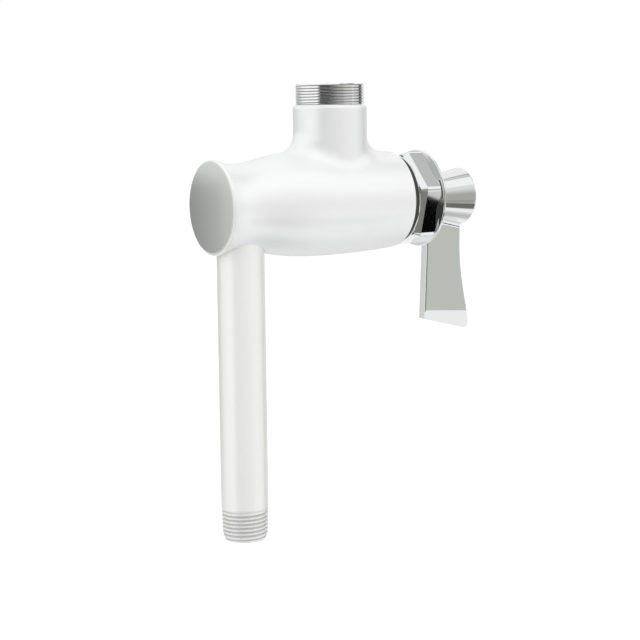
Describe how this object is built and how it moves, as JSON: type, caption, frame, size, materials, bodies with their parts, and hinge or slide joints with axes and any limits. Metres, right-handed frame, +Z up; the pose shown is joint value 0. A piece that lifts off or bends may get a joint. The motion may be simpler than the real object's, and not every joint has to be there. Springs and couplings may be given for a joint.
{
  "type": "single control faucet valve",
  "caption": "Chrome single control faucet valve: cast barrel on an upright inlet pipe, threaded outlet on top for a swivel spout, hex bonnet and a hanging lever on a rising stem.",
  "frame": {"origin": "centre of the inlet pipe's lower end", "axes": "+Z up the inlet pipe, +X along the barrel from its closed end to the lever"},
  "size_m": [0.1404, 0.0484, 0.205],
  "materials": {
    "body_chrome": "satin-soft chrome plate on cast brass",
    "pipe_chrome": "bright chrome plate on brass pipe",
    "polished_chrome": "mirror-polished chrome plate",
    "steel": "turned stainless steel",
    "brass": "turned brass",
    "rubber": "black moulded rubber",
    "slip_plastic": "pale slip plastic",
    "gasket_fibre": "dark pressed fibre gasket"
  },
  "bodies": {
    "valve": {"valve_body": "body_chrome", "inlet_pipe": "pipe_chrome", "valve_seat": "steel", "seat_seal_ring": "rubber", "bonnet": "polished_chrome", "bonnet_gasket": "gasket_fibre"},
    "washer_carrier": {"washer_holder": "brass", "seat_washer": "rubber", "washer_screw": "steel"},
    "lever_and_stem": {"stem": "brass", "swivel_ring": "steel", "stem_inner_seal_ring": "rubber", "stem_outer_seal_ring": "rubber", "stem_thrust_washer": "slip_plastic", "lever_handle": "polished_chrome", "handle_lock_washer": "steel", "handle_screw": "steel"}
  },
  "joints": [
    {"name": "stem_lift", "type": "slide", "parent": "valve", "child": "washer_carrier", "axis": [1, 0, 0], "range_m": [0, 0.0026]},
    {"name": "handle_turn", "type": "hinge", "parent": "washer_carrier", "child": "lever_and_stem", "pos_m": [0.05, 0, 0.151], "axis": [1, 0, 0], "range_deg": [0, 180]}
  ],
  "couplings": [
    {"joint": "stem_lift", "follows": "handle_turn", "m_per_rad": 0.00079577}
  ]
}
